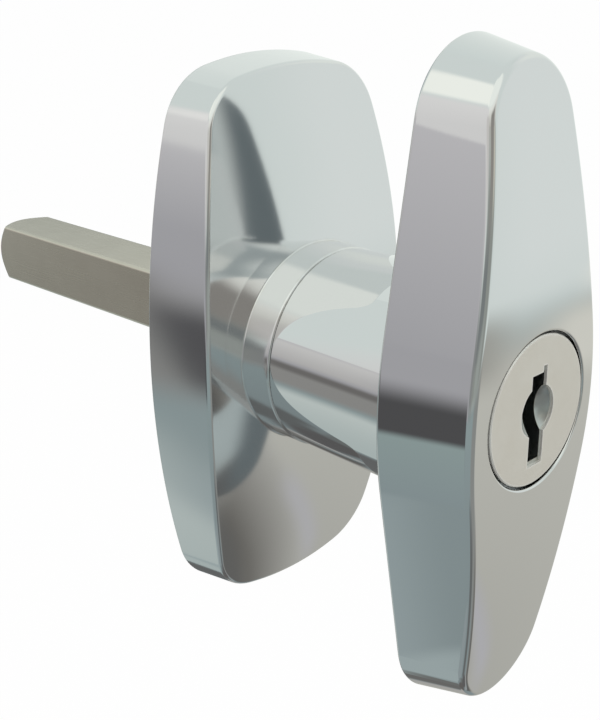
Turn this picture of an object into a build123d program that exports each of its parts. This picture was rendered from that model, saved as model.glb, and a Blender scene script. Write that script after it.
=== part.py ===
from build123d import *
from math import acos, atan2, cos, degrees, hypot, pi, radians, sin, sqrt, tan
import os

# Locking T-handle for a cabinet door, in millimetres.
# The turning axis is the Y axis. The handle's front faces -Y, the square spindle points to +Y, and +Z is up.
# The origin is on the turning axis, in the plane where the escutcheon's back meets the door.
# "Depth" below means the distance in front of that plane, so a point at depth d has y = -d.

# Clearances
press = 0.02
seat_gap = 0.03
sliding = 0.05
running = 0.07
loose = 0.2
head_gap = 0.3

# How far a cutting body runs past what it cuts, and how exactly an edge is looked up
cut_past = 1.0
tolerance = 0.01

# Escutcheon: a crowned plate with drafted walls and a round collar
plate_half_width = 17.7
plate_half_height = 33.2
plate_side_arc = 103.0
plate_end_arc = 41.0
plate_corner_arc = 8.1
plate_front = 10.2
plate_draft = 6.5
plate_crown_along = 130.0
plate_crown_across = 110.0
plate_edge_radius = 0.6
plate_wall = 2.4
collar_radius = 12.05
collar_front = 13.75
collar_chamfer = 0.25

# Screw bosses that take the fixing screws from inside the door, and the rib between them
screw_spacing = 44.0
boss_radius = 4.3
screw_thread_radius = 2.1
screw_thread_depth = 5.2
rib_thickness = 1.8
rib_back = 4.3
screw_places = [(0, screw_spacing / 2), (0, -screw_spacing / 2)]

# Gasket in the back of the rim
gasket_thickness = 1.1
gasket_width = 1.5
gasket_lip = 0.9

# Bar of the handle, with a crowned front
bar_half_width = 13.55
bar_half_height = 37.7
bar_end_arc = 9.05
bar_side_arc = 48.5
bar_back = 30.6
bar_thickness = 11.0
bar_draft = 13.0
bar_crown_along = 170.0
bar_crown_across = 97.0
bar_front_edge_radius = 1.0
bar_back_edge_radius = 0.35
lock_rim_radius = 0.25
bar_front = bar_back + bar_thickness

# Shank behind the bar, and the journal that turns in the collar
shank_gap = 0.2
shank_inset = 0.15
shank_front_radius = 12.55
journal_radius = 8.5
journal_flat_cut = 1.3
journal_land = 0.3
shank_back = collar_front + shank_gap
shank_back_radius = collar_radius - shank_inset
journal_flat = journal_radius - journal_flat_cut
bore_radius = journal_radius + running

# Thrust washer, in a counterbore of the collar
thrust_washer_thickness = 0.8
thrust_washer_rim = 1.15
thrust_washer_outer = collar_radius - thrust_washer_rim
thrust_washer_seat = collar_front - thrust_washer_thickness

# Stop washer against the escutcheon's hub: its tab meets a lug at 90 degrees either way
hub_back = 3.85
hub_rim = 0.5
stop_washer_thickness = 1.0
stop_washer_width = 2.2
stop_tab_length = 2.6
stop_tab_width = 3.6
stop_lug_size = 2.6
stop_lug_overlap = 0.4
stop_washer_radius = journal_radius + stop_washer_width
stop_tab_reach = stop_washer_radius + stop_tab_length
stop_washer_front = hub_back - seat_gap
stop_washer_back = stop_washer_front - stop_washer_thickness
stop_lug_back = stop_washer_back - stop_lug_overlap
hub_radius = stop_washer_radius + hub_rim

# Disc spring behind the stop washer
disc_spring_thickness = 0.35
disc_spring_height = 0.6
disc_spring_width = 1.9
disc_spring_outer = journal_radius + disc_spring_width
disc_spring_front = stop_washer_back - seat_gap
disc_spring_back = disc_spring_front - disc_spring_height

# Circlip that keeps the journal in the escutcheon
circlip_thickness = 0.9
circlip_groove_cut = 0.9
circlip_play = 0.15
circlip_width = 1.8
circlip_gap_angle = 34.0
circlip_eye_radius = 1.3
circlip_hole_radius = 0.65
circlip_groove_radius = journal_radius - circlip_groove_cut
circlip_front = disc_spring_back - circlip_play
circlip_back = circlip_front - circlip_thickness
journal_back = circlip_back - journal_land

# Locking bolt: slides out of the journal into a notch of the collar
bolt_width = 4.8
bolt_thickness = 2.9
bolt_cover = 0.7
bolt_tip_inset = 0.45
bolt_tip_chamfer = 0.3
bolt_tail = 4.6
bolt_travel = 2.2
bolt_pin_radius = 0.9
bolt_pin_start = 3.0
notch_count = 4
notch_gap = 0.25
bolt_front = thrust_washer_seat - bolt_cover
bolt_back = bolt_front - bolt_thickness
bolt_tip = journal_radius - bolt_tip_inset

# Shank seal, in a groove of the journal behind the bolt
seal_section = 1.4
seal_setback = 1.45
seal_depth = bolt_back - seal_setback

# Square spindle and its cross pin
spindle_size = 8.0
spindle_edge_radius = 0.4
spindle_reach = 51.0
spindle_tip_radius = 4.0
spindle_socket_floor = 0.65
spindle_pin_radius = 1.25
spindle_pin_setback = 3.1
spindle_socket_depth = bolt_back - spindle_socket_floor
spindle_pin_depth = spindle_socket_depth - spindle_pin_setback

# Plug: its head stands just behind the front of the bar, under a thin cap
plug_head_radius = 8.3
plug_head_step = 1.3
plug_head_thickness = 1.45
face_sunk = 0.4
face_cap_thickness = 0.35
face_cap_chamfer = 0.12
plug_radius = plug_head_radius - plug_head_step
head_bore = plug_head_radius + head_gap
face_front = bar_front - face_sunk
face_back = face_front - face_cap_thickness
housing_front = face_back - plug_head_thickness

# Lock housing, a sleeve in the handle, and the cross pin that holds it
housing_wall = 1.5
housing_pin_radius = 1.0
housing_pin_setback = 1.8
housing_pin_start = 0.5
housing_pin_sunk = 0.25
housing_groove_cut = 0.8
housing_groove_margin = 0.9
housing_radius = plug_radius + running + housing_wall
housing_groove_radius = plug_radius + housing_groove_cut
housing_pin_depth = housing_front - housing_pin_setback
lock_bore = housing_radius + press

# Wafers and their springs. Each wafer's window is cut to one of six key heights.
wafer_count = 6
wafer_pitch = 2.0
wafer_thickness = 1.15
wafer_setback = 2.6
wafer_half_width = 3.5
wafer_travel = 0.5
wafer_window_width = 2.9
wafer_window_rim = 1.1
wafer_cut_lowest = 2.6
wafer_cut_step = 0.25
wafer_cut_codes = (3, 1, 5, 2, 0, 4)
wafer_ear_length = 1.2
wafer_ear_height = 0.9
spring_radius = 0.5
spring_length = 2.7
wafer_first = housing_pin_depth - wafer_setback - (wafer_count - 1) * wafer_pitch
wafer_depths = [wafer_first + index * wafer_pitch for index in range(wafer_count)]
wafer_cuts = [wafer_cut_lowest + wafer_cut_step * code for code in wafer_cut_codes]
wafer_window_bottom = plug_radius - wafer_window_rim
wafer_ear_reach = wafer_half_width + wafer_ear_length

# Back end of the housing and of the plug, with the plug's retaining clip
housing_end_wall = 2.4
plug_neck_radius = 5.0
plug_neck_length = 0.9
plug_clip_groove_cut = 0.7
plug_clip_thickness = 0.7
plug_clip_width = 3.2
plug_clip_gap = 7.0
clip_pocket_cut = 1.0
housing_back = wafer_first - housing_end_wall
plug_clip_front = housing_back - seat_gap
plug_clip_back = plug_clip_front - plug_clip_thickness
plug_clip_groove_radius = plug_neck_radius - plug_clip_groove_cut
plug_neck_back = plug_clip_back - sliding - plug_neck_length
clip_pocket_radius = plug_radius + clip_pocket_cut

# Cam disc on the plug's tail: its spiral groove drives the bolt's pin
cam_gap = 0.3
cam_thickness = 2.0
cam_groove_floor = 0.25
cam_groove_gap = 0.1
cam_turn = 90.0
cam_chamber_wall = 1.2
cam_sleeve_wall = 0.77
cam_sleeve_gap = 0.5
cam_pin_radius = 0.75
tail_size = 4.0
tail_setback = 0.45
cam_chamber_radius = journal_radius - cam_chamber_wall
cam_radius = cam_chamber_radius - cam_gap
cam_back = bolt_front + cam_gap
cam_front = cam_back + cam_thickness
cam_groove_front = cam_front - cam_groove_floor
cam_sleeve_radius = tail_size / sqrt(2) + cam_sleeve_wall
cam_sleeve_front = plug_neck_back - cam_sleeve_gap
cam_pin_depth = (cam_front + cam_sleeve_front) / 2
tail_back = cam_front + tail_setback

# Keyhole in the face cap, and the keyway in the plug with a round dish at its mouth
keyhole_top = 4.15
keyhole_bottom = 6.15
keyhole_width = 2.6
keyhole_round_radius = 2.9
keyhole_notch_top = 4.85
keyhole_notch_width = 0.65
keyway_top = 4.1
keyway_bottom = 5.7
keyway_left = 0.95
keyway_right = 1.15
keyway_end = 1.4
ward_top = 2.4
ward_bottom = 4.35
dish_radius = 4.3
dish_rim_radius = 2.8
keyway_back = wafer_first - keyway_end

# Chamfer on the ends of all cross pins
pin_chamfer = 0.15


def at(depth):
    """The plane across the turning axis at this depth, facing forward."""
    return Plane.XZ.offset(depth)


def prism(sketch, back, front, taper=0.0):
    return extrude(at(back) * sketch, front - back, taper=taper)


def disc(radius, back, front):
    return prism(Circle(radius), back, front)


def ring(outer, inner, back, front):
    return prism(Circle(outer) - Circle(inner), back, front)


def turned(*profile):
    """A solid of revolution about the turning axis, from (radius, depth) points."""
    points = [(radius, -depth) for radius, depth in profile]
    return revolve(make_face(Polyline(*points, close=True)), Axis.Y)


def rectangle(left, right, bottom, top):
    """A rectangle from its limits across and up."""
    return Pos((left + right) / 2, (bottom + top) / 2) * Rectangle(right - left, top - bottom)


def block(left, right, bottom, top, back, front):
    """A box from its limits across, up and in depth."""
    return prism(rectangle(left, right, bottom, top), back, front)


def cross_pin(radius, depth, left, right, chamfer_size=0.0):
    """A round pin that lies across the turning axis."""
    pin = Pos(left, -depth, 0) * extrude(Plane.YZ * Circle(radius), right - left)
    if chamfer_size:
        pin = chamfer(pin.edges().filter_by(GeomType.CIRCLE), chamfer_size)
    return pin


def arc_to(centre, radius, start, end):
    """An arc between two directions, given in radians."""
    return CenterArc(centre, radius, degrees(start), degrees(end - start))


def plate_outline(inset=0.0):
    """Closed outline of side arcs, end arcs and corner arcs that run into each other."""
    side, end, corner = plate_side_arc - inset, plate_end_arc - inset, plate_corner_arc - inset
    side_centre = (plate_half_width - plate_side_arc, 0)
    end_centre = (0, plate_half_height - plate_end_arc)
    # The corner's centre lies at known distances from the other two centres.
    across, up = end_centre[0] - side_centre[0], end_centre[1] - side_centre[1]
    apart = hypot(across, up)
    to_side, to_end = side - corner, end - corner
    along = (to_side**2 - to_end**2 + apart**2) / (2 * apart)
    aside = sqrt(to_side**2 - along**2)
    corner_x = side_centre[0] + (along * across - aside * up) / apart
    corner_y = side_centre[1] + (along * up + aside * across) / apart
    side_angle = atan2(corner_y - side_centre[1], corner_x - side_centre[0])
    end_angle = atan2(corner_y - end_centre[1], corner_x - end_centre[0])
    right = arc_to(side_centre, side, -side_angle, side_angle)
    top = arc_to(end_centre, end, end_angle, pi - end_angle)
    top_right = arc_to((corner_x, corner_y), corner, side_angle, end_angle)
    top_left = mirror(top_right, Plane.YZ)
    half = [top_right, top, top_left]
    lower = [mirror(edge, Plane.XZ) for edge in half]
    return make_face([right, mirror(right, Plane.YZ)] + half + lower)


def bar_outline():
    """Closed outline of two side arcs, four straight tapered sides and two end arcs."""
    side_centre = Vector(bar_half_width - bar_side_arc, 0)
    end_centre = Vector(0, bar_half_height - bar_end_arc)
    between = end_centre - side_centre
    angle = atan2(between.Y, between.X) - acos((bar_side_arc - bar_end_arc) / between.length)
    outward = Vector(cos(angle), sin(angle))
    side = arc_to(side_centre, bar_side_arc, -angle, angle)
    end = arc_to(end_centre, bar_end_arc, angle, pi - angle)
    straight = Line(side_centre + outward * bar_side_arc, end_centre + outward * bar_end_arc)
    upper = [end, straight, mirror(straight, Plane.YZ)]
    lower = [mirror(edge, Plane.XZ) for edge in upper]
    return make_face([side, mirror(side, Plane.YZ)] + upper + lower)


def crowned_space(front, along, across, half_width):
    """Everything behind a front that is crowned along its length and across its width."""
    reach = half_width + cut_past
    centre = along - front
    edge_y = centre - along + across - sqrt(across**2 - reach**2)
    arc = ThreePointArc((-reach, edge_y), (0, centre - along), (reach, edge_y))
    sides = Polyline((reach, edge_y), (reach, centre), (-reach, centre), (-reach, edge_y))
    return revolve(make_face([arc, sides]), Axis((0, centre, 0), (1, 0, 0)))


def front_edges(solid, behind):
    """The edges of a crowned front: those that lie wholly in front of a given depth."""
    return [edge for edge in solid.edges() if edge.bounding_box().max.Y < -behind]


def edges_at(solid, depth):
    """The edges that lie flat at a given depth."""
    return [edge for edge in solid.edges() if abs(edge.center().Y + depth) < tolerance]


def lock_rim(solid):
    """The round edge where the lock's bore meets the crowned front of the bar."""
    reach = head_bore + tolerance
    rim = []
    for edge in front_edges(solid, housing_front + tolerance):
        box = edge.bounding_box()
        if box.max.X < reach and box.max.Z < reach:
            rim.append(edge)
    return rim


def plate_body(inset, front):
    """The drafted and crowned form of the plate, drawn in on all sides by an inset."""
    body = prism(plate_outline(inset), 0, front + cut_past, taper=plate_draft)
    along, across = plate_crown_along - inset, plate_crown_across - inset
    return body & crowned_space(front, along, across, plate_half_width)


def make_escutcheon():
    body = plate_body(0, plate_front)
    body = fillet(front_edges(body, plate_front / 3), plate_edge_radius)
    body += disc(collar_radius, plate_front / 2, collar_front)
    body = chamfer(edges_at(body, collar_front), collar_chamfer)
    # Hollow back, with the hub, the screw bosses, a rib between them and the two stop lugs left standing
    hollow = plate_body(plate_wall, plate_front - plate_wall)
    hollow -= disc(hub_radius, 0, plate_front)
    rib, rib_end = rib_thickness / 2, screw_spacing / 2
    hollow -= block(-rib, rib, -rib_end, rib_end, rib_back, plate_front)
    for place in screw_places:
        hollow -= prism(Pos(*place) * Circle(boss_radius), 0, plate_front)
    lug_top = -stop_tab_width / 2 - sliding
    for side in (-1, 1):
        inner, outer = sorted((side * (hub_radius - cut_past), side * stop_tab_reach))
        hollow -= block(inner, outer, lug_top - stop_lug_size, lug_top, stop_lug_back, plate_front)
    body -= hollow
    body -= disc(hub_radius, 0, hub_back)
    # Seat of the gasket
    seat = plate_outline(gasket_lip - press) - plate_outline(plate_wall + cut_past)
    body -= prism(seat, 0, gasket_thickness)
    # Bore, notches for the locking bolt, counterbore for the thrust washer, and threaded holes
    body -= disc(bore_radius, 0, collar_front)
    notch_half = bolt_width / 2 + notch_gap
    notch_reach = bolt_tip + bolt_travel + notch_gap
    notch = block(0, notch_reach, -notch_half, notch_half, bolt_back - notch_gap, thrust_washer_seat)
    for index in range(notch_count):
        body -= notch.rotate(Axis.Y, index * 360 / notch_count)
    body -= disc(thrust_washer_outer + sliding, thrust_washer_seat, collar_front)
    for place in screw_places:
        body -= prism(Pos(*place) * Circle(screw_thread_radius), 0, screw_thread_depth)
    return body


def make_gasket():
    return prism(plate_outline(gasket_lip) - plate_outline(gasket_lip + gasket_width), 0, gasket_thickness)


def make_thrust_washer():
    back = thrust_washer_seat + seat_gap
    return ring(thrust_washer_outer, bore_radius + sliding, back, shank_back - seat_gap)


def make_t_handle():
    bar = prism(bar_outline(), bar_back, bar_front + cut_past, taper=bar_draft)
    bar = bar & crowned_space(bar_front, bar_crown_along, bar_crown_across, bar_half_width)
    bar = fillet(front_edges(bar, bar_back + bar_thickness / 3), bar_front_edge_radius)
    bar = fillet(edges_at(bar, bar_back), bar_back_edge_radius)
    body = bar + turned(
        (0, shank_back),
        (shank_back_radius, shank_back),
        (shank_front_radius, bar_back),
        (0, bar_back + cut_past),
    )
    body += disc(journal_radius, journal_back, shank_back)
    # Lock bore, pocket for the plug's clip, cam chamber and the square socket of the spindle
    body -= disc(head_bore, housing_front, bar_front + cut_past)
    body = fillet(lock_rim(body), lock_rim_radius)
    body -= disc(lock_bore, housing_back, housing_front)
    body -= disc(clip_pocket_radius, plug_neck_back, housing_back)
    body -= disc(cam_chamber_radius, bolt_front + sliding, plug_neck_back)
    socket = spindle_size + 2 * sliding
    body -= prism(Rectangle(socket, socket), 0, spindle_socket_depth)
    # Channel of the locking bolt, open on one side of the journal
    guide = bolt_width / 2 + sliding
    outside = journal_radius + cut_past
    channel_end = -bolt_tail - notch_gap
    body -= block(channel_end, outside, -guide, guide, bolt_back - sliding, bolt_front + sliding)
    # Grooves of the seal and the circlip, flats for the stop washer, and the two cross holes
    seal_root = bore_radius - seat_gap - seal_section
    seal_half = seal_section / 2 + sliding
    body -= ring(outside, seal_root, seal_depth - seal_half, seal_depth + seal_half)
    body -= ring(outside, circlip_groove_radius, circlip_back - seat_gap, circlip_front + seat_gap)
    for side in (-1, 1):
        inner, outer = sorted((side * journal_flat, side * outside))
        body -= block(inner, outer, -journal_radius, journal_radius, 0, hub_back - seat_gap)
    body -= cross_pin(spindle_pin_radius + press, spindle_pin_depth, -outside, outside)
    body -= cross_pin(housing_pin_radius + press, housing_pin_depth, plug_radius, bar_half_width)
    return body


def make_spindle():
    front = spindle_socket_depth - sliding
    body = prism(RectangleRounded(spindle_size, spindle_size, spindle_edge_radius), -spindle_reach, front)
    # The free end is turned to a cone at 45 degrees, which leaves only the corners of the square chamfered.
    outside = spindle_size
    body = body & turned(
        (0, -spindle_reach),
        (spindle_tip_radius, -spindle_reach),
        (outside, outside - spindle_tip_radius - spindle_reach),
        (outside, front),
        (0, front),
    )
    return body - cross_pin(spindle_pin_radius + press, spindle_pin_depth, -spindle_size, spindle_size)


def make_spindle_pin():
    reach = sqrt(journal_radius**2 - spindle_pin_radius**2) - sliding
    return cross_pin(spindle_pin_radius, spindle_pin_depth, -reach, reach, pin_chamfer)


def make_shank_seal():
    centre = bore_radius - seat_gap - seal_section / 2
    section = Pos(centre, -seal_depth) * Circle(seal_section / 2 - press)
    return revolve(section, Axis.Y)


def make_stop_washer():
    flat = journal_flat + sliding
    hole = Circle(journal_radius + sliding) & rectangle(-flat, flat, -stop_tab_reach, stop_tab_reach)
    tab = rectangle(-stop_tab_width / 2, stop_tab_width / 2, 0, stop_tab_reach) & Circle(stop_tab_reach)
    outline = Circle(stop_washer_radius) + tab - hole
    return prism(outline, stop_washer_back, stop_washer_front)


def make_disc_spring():
    inner = journal_radius + sliding
    return turned(
        (inner, disc_spring_back),
        (inner, disc_spring_back + disc_spring_thickness),
        (disc_spring_outer, disc_spring_front),
        (disc_spring_outer, disc_spring_front - disc_spring_thickness),
    )


def make_circlip():
    inner = circlip_groove_radius + press
    outer = inner + circlip_width
    half = radians(circlip_gap_angle / 2)
    # The gap is a wedge that opens downward, and ends in two eyes with plier holes.
    side, down = 2 * outer * sin(half), -2 * outer * cos(half)
    outline = Circle(outer) - Polygon((0, 0), (-side, down), (side, down), align=None)
    eye_distance = inner + circlip_eye_radius
    eye_angle = half + circlip_eye_radius / eye_distance
    for side in (-1, 1):
        eye = Pos(side * eye_distance * sin(eye_angle), -eye_distance * cos(eye_angle))
        outline += eye * Circle(circlip_eye_radius)
        outline -= eye * Circle(circlip_hole_radius)
    return prism(outline - Circle(inner), circlip_back, circlip_front)


def make_housing():
    body = ring(housing_radius, plug_radius + running, housing_back, housing_front)
    # Four grooves, so that the wafers can spring out with the plug at either stop
    half, reach = wafer_half_width + loose, housing_groove_radius
    channels = rectangle(-half, half, -reach, reach) + rectangle(-reach, reach, -half, half)
    back = wafer_depths[0] - wafer_thickness / 2 - housing_groove_margin
    front = wafer_depths[-1] + wafer_thickness / 2 + housing_groove_margin
    body -= prism(channels & Circle(reach), back, front)
    return body - cross_pin(housing_pin_radius + press, housing_pin_depth, 0, housing_radius + cut_past)


def make_housing_pin():
    bar_side = bar_half_width - (housing_pin_depth - bar_back) * tan(radians(bar_draft))
    inner, outer = plug_radius + housing_pin_start, bar_side - housing_pin_sunk
    return cross_pin(housing_pin_radius, housing_pin_depth, inner, outer, pin_chamfer)


def keyway_outline():
    """A slot with a wide top and a foot that runs to the left, between two wards."""
    half = keyhole_width / 2
    slot = rectangle(-keyway_left, keyway_right, -keyway_bottom, keyway_top)
    upper = rectangle(-half, half, ward_top, keyway_top)
    lower = rectangle(-half, keyway_right, -keyway_bottom, -ward_bottom)
    return slot + upper + lower


def make_plug():
    groove_back = plug_clip_back - sliding
    head_back = housing_front + seat_gap
    body = turned(
        (0, plug_neck_back),
        (plug_neck_radius, plug_neck_back),
        (plug_neck_radius, groove_back),
        (plug_clip_groove_radius, groove_back),
        (plug_clip_groove_radius, plug_clip_front),
        (plug_radius, plug_clip_front),
        (plug_radius, head_back),
        (plug_head_radius, head_back),
        (plug_head_radius, face_back),
        (0, face_back),
    )
    body += prism(Rectangle(tail_size, tail_size), tail_back, plug_neck_back)
    body -= cross_pin(cam_pin_radius + press, cam_pin_depth, -tail_size, tail_size)
    # Keyway, with a round dish at its mouth
    body -= prism(keyway_outline(), keyway_back, face_back)
    dish_centre = face_back + sqrt(dish_radius**2 - dish_rim_radius**2)
    body -= Pos(0, -dish_centre, 0) * Sphere(dish_radius)
    # Slots for the wafers, with a side pocket for each spring
    half = wafer_half_width + sliding
    slot = wafer_thickness / 2 + sliding
    pocket_top = wafer_ear_height + wafer_travel + loose
    pocket_bottom = -spring_length - sliding
    pocket_side = wafer_ear_reach + loose
    for depth in wafer_depths:
        body -= block(-half, half, -plug_radius, plug_radius, depth - slot, depth + slot)
        body -= block(0, pocket_side, pocket_bottom, pocket_top, depth - slot, depth + slot)
    return body


def make_plug_clip():
    inner = plug_clip_groove_radius + press
    outer = inner + plug_clip_width
    slot = rectangle(-plug_clip_gap / 2, plug_clip_gap / 2, -outer, 0)
    outline = Circle(outer) - Circle(inner) - slot
    return prism(outline, plug_clip_back, plug_clip_front)


def make_face_cap():
    half = keyhole_width / 2
    slot = rectangle(-half, half, -keyhole_bottom, keyhole_top)
    notch = rectangle(half - keyhole_notch_width, half, 0, keyhole_notch_top)
    outline = Circle(plug_head_radius) - Circle(keyhole_round_radius) - slot - notch
    body = prism(outline, face_back, face_front)
    rim = [edge for edge in edges_at(body, face_front) if edge.bounding_box().size.X > plug_head_radius]
    return chamfer(rim, face_cap_chamfer)


def wafer_outline(key_cut):
    half = wafer_window_width / 2
    window = rectangle(-half, half, -wafer_window_bottom, key_cut)
    ear = rectangle(wafer_half_width, wafer_ear_reach, 0, wafer_ear_height)
    sides = rectangle(-wafer_half_width, wafer_half_width, -plug_radius, plug_radius)
    return (Circle(plug_radius - sliding) & sides) - window + ear


def make_wafer(depth, key_cut):
    return prism(wafer_outline(key_cut), depth - wafer_thickness / 2, depth + wafer_thickness / 2)


def make_wafer_springs():
    """One small coil spring under each wafer's ear, drawn as its outer form."""
    middle = (wafer_half_width + sliding + wafer_ear_reach) / 2
    upward = (Align.CENTER, Align.CENTER, Align.MIN)
    springs = []
    for depth in wafer_depths:
        spring = Cylinder(spring_radius, spring_length - sliding, align=upward)
        springs.append(Pos(middle, -depth, -spring_length) * spring)
    return Compound(children=springs)


def spiral_point(share):
    """Where the bolt's pin stands in the cam disc when the plug has made this share of its turn."""
    radius = bolt_pin_start + bolt_travel * share
    angle = radians(cam_turn) * share
    return (radius * cos(angle), radius * sin(angle))


def make_cam():
    body = disc(cam_radius, cam_back, cam_front) + disc(cam_sleeve_radius, cam_front, cam_sleeve_front)
    hole = tail_size + 2 * press
    body -= prism(Rectangle(hole, hole), tail_back - sliding, cam_sleeve_front)
    track = ThreePointArc(spiral_point(0), spiral_point(0.5), spiral_point(1))
    groove = SlotArc(track, 2 * (bolt_pin_radius + cam_groove_gap))
    body -= prism(groove, cam_back, cam_groove_front)
    outside = cam_sleeve_radius + cut_past
    return body - cross_pin(cam_pin_radius + press, cam_pin_depth, -outside, outside)


def make_cam_pin():
    reach = sqrt(cam_sleeve_radius**2 - cam_pin_radius**2) - press
    return cross_pin(cam_pin_radius, cam_pin_depth, -reach, reach, pin_chamfer)


def make_lock_bolt():
    body = block(-bolt_tail, bolt_tip, -bolt_width / 2, bolt_width / 2, bolt_back, bolt_front)
    tip_edges = body.edges().filter_by(Axis.Y).sort_by(Axis.X)[-2:]
    body = chamfer(tip_edges, bolt_tip_chamfer)
    pin = prism(Pos(bolt_pin_start, 0) * Circle(bolt_pin_radius), bolt_front, cam_groove_front - seat_gap)
    return body + pin


def make_pieces():
    pieces = {
        "escutcheon": make_escutcheon(),
        "door_gasket": make_gasket(),
        "thrust_washer": make_thrust_washer(),
        "t_handle": make_t_handle(),
        "square_spindle": make_spindle(),
        "spindle_pin": make_spindle_pin(),
        "shank_seal": make_shank_seal(),
        "stop_washer": make_stop_washer(),
        "disc_spring": make_disc_spring(),
        "circlip": make_circlip(),
        "lock_housing": make_housing(),
        "housing_pin": make_housing_pin(),
        "lock_plug": make_plug(),
        "plug_clip": make_plug_clip(),
        "face_cap": make_face_cap(),
        "lock_cam": make_cam(),
        "cam_pin": make_cam_pin(),
        "lock_bolt": make_lock_bolt(),
        "wafer_springs": make_wafer_springs(),
    }
    for index, (depth, key_cut) in enumerate(zip(wafer_depths, wafer_cuts), start=1):
        pieces[f"wafer_{index}"] = make_wafer(depth, key_cut)
    return pieces


if __name__ == "__main__":
    os.makedirs("parts", exist_ok=True)
    for name, solid in make_pieces().items():
        export_step(solid, f"parts/{name}.step")
        print(name, round(solid.volume, 1))
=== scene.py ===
# %% [markdown]
# # A locking T-handle in polished chrome
#
# The handle is a die casting: a crowned bar on a round shank, with a key lock in its middle. It turns in the
# collar of a crowned plate, the escutcheon, and carries a square spindle through the door. The exact sizes
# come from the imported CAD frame. This lesson dresses that frame: it rebuilds the two mirror-bright castings
# as fine meshes, gives each of the other materials its finish, and lights the whole as a photographer would
# light chrome.

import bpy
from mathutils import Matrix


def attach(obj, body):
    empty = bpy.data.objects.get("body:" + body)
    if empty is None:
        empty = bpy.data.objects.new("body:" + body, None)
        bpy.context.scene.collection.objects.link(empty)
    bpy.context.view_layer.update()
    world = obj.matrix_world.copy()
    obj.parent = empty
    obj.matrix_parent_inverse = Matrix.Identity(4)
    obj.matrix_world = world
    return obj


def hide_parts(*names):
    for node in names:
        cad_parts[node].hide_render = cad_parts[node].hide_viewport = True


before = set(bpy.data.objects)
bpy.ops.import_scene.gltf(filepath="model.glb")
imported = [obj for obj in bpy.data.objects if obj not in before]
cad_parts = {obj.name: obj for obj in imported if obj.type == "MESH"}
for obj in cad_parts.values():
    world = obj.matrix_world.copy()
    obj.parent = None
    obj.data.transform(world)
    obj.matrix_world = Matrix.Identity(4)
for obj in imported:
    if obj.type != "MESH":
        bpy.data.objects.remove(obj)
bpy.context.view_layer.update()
print("nodes:", len(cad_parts))

# %% Modules and units
from math import atan2, cos, pi, radians, sin, sqrt, tan

import bmesh
import bpy
import numpy as np
from mathutils import Matrix, Vector

MM = 0.001
scene = bpy.context.scene
scene.view_settings.view_transform = "Standard"
print("view transform:", scene.view_settings.view_transform)

# %% [markdown]
# ## The camera
#
# The photograph was taken from the left, a little above the handle, with a long lens close by, so that the
# bar looms larger than the plate behind it. Its place was found by fitting the frame's own edges to the
# picture. It could be typed as a place and three angles. It is written here as the direction that it looks
# from, its distance and two small offsets, because those are the numbers that one would turn by hand.

# %% Where the camera stands
IMAGE_WIDTH, IMAGE_HEIGHT = 600, 720
LOOKS_FROM_AZIMUTH, LOOKS_FROM_ELEVATION, ROLL = radians(-45.685), radians(20.455), radians(-0.314)
DISTANCE, ASIDE, ABOVE = 155.71 * MM, 3.63 * MM, -3.34 * MM

backward = Vector((
    sin(LOOKS_FROM_AZIMUTH) * cos(LOOKS_FROM_ELEVATION),
    -cos(LOOKS_FROM_AZIMUTH) * cos(LOOKS_FROM_ELEVATION),
    sin(LOOKS_FROM_ELEVATION),
))
level = Vector((cos(LOOKS_FROM_AZIMUTH), sin(LOOKS_FROM_AZIMUTH), 0))
upright = backward.cross(level)
right = level * cos(ROLL) + upright * sin(ROLL)
up = upright * cos(ROLL) - level * sin(ROLL)
print("the camera looks from", [round(value, 3) for value in backward])

# %% Camera and lens
FOCAL_PIXELS = 1242.8
CENTRE_X, CENTRE_Y = 287.60, 347.76
SENSOR = 36.0

camera = bpy.data.objects.new("photo_camera", bpy.data.cameras.new("photo_camera"))
scene.collection.objects.link(camera)
turn = Matrix((right, up, backward)).transposed()
place = Matrix.Translation(backward * DISTANCE + right * ASIDE + up * ABOVE)
camera.matrix_world = place @ turn.to_4x4()
camera.data.sensor_width = SENSOR
camera.data.lens = FOCAL_PIXELS * SENSOR / IMAGE_HEIGHT
camera.data.shift_x = (IMAGE_WIDTH / 2 - CENTRE_X) / IMAGE_HEIGHT
camera.data.shift_y = (CENTRE_Y - IMAGE_HEIGHT / 2) / IMAGE_HEIGHT
camera.data.clip_start = 5 * MM
scene.camera = camera
print("lens", round(camera.data.lens, 2), "mm, at", [round(value, 4) for value in camera.location])

# %% [markdown]
# ## Lofted shells
#
# Polished chrome is the hardest finish to model for. It shows no colour of its own, only its surroundings,
# so a facet or a wavering normal bends a reflection and gives the mesh away. Subdivision surfaces drift from
# the true form, and a mesh from a CAD file has long thin triangles. Here each casting is a loft instead:
# rings of points that are worked out from the same arcs that a toolmaker would cut. Each ring also has its
# own exact normals, which Blender takes as custom normals.

# %% Rings of points with their normals
RING = 720


class Skin:
    """A growing list of rings. Each ring holds one point and one normal for every column."""

    def __init__(self):
        self.points, self.normals = [], []

    def add(self, points, normals):
        """One more ring."""
        self.points.append(np.array(points))
        self.normals.append(np.array(normals) / np.linalg.norm(normals, axis=1)[:, None])

    def extend(self, other, flip=False):
        """All rings of another skin, or the same from its other side."""
        self.points += other.points[::-1] if flip else other.points
        self.normals += [-normal for normal in other.normals[::-1]] if flip else other.normals


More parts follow.
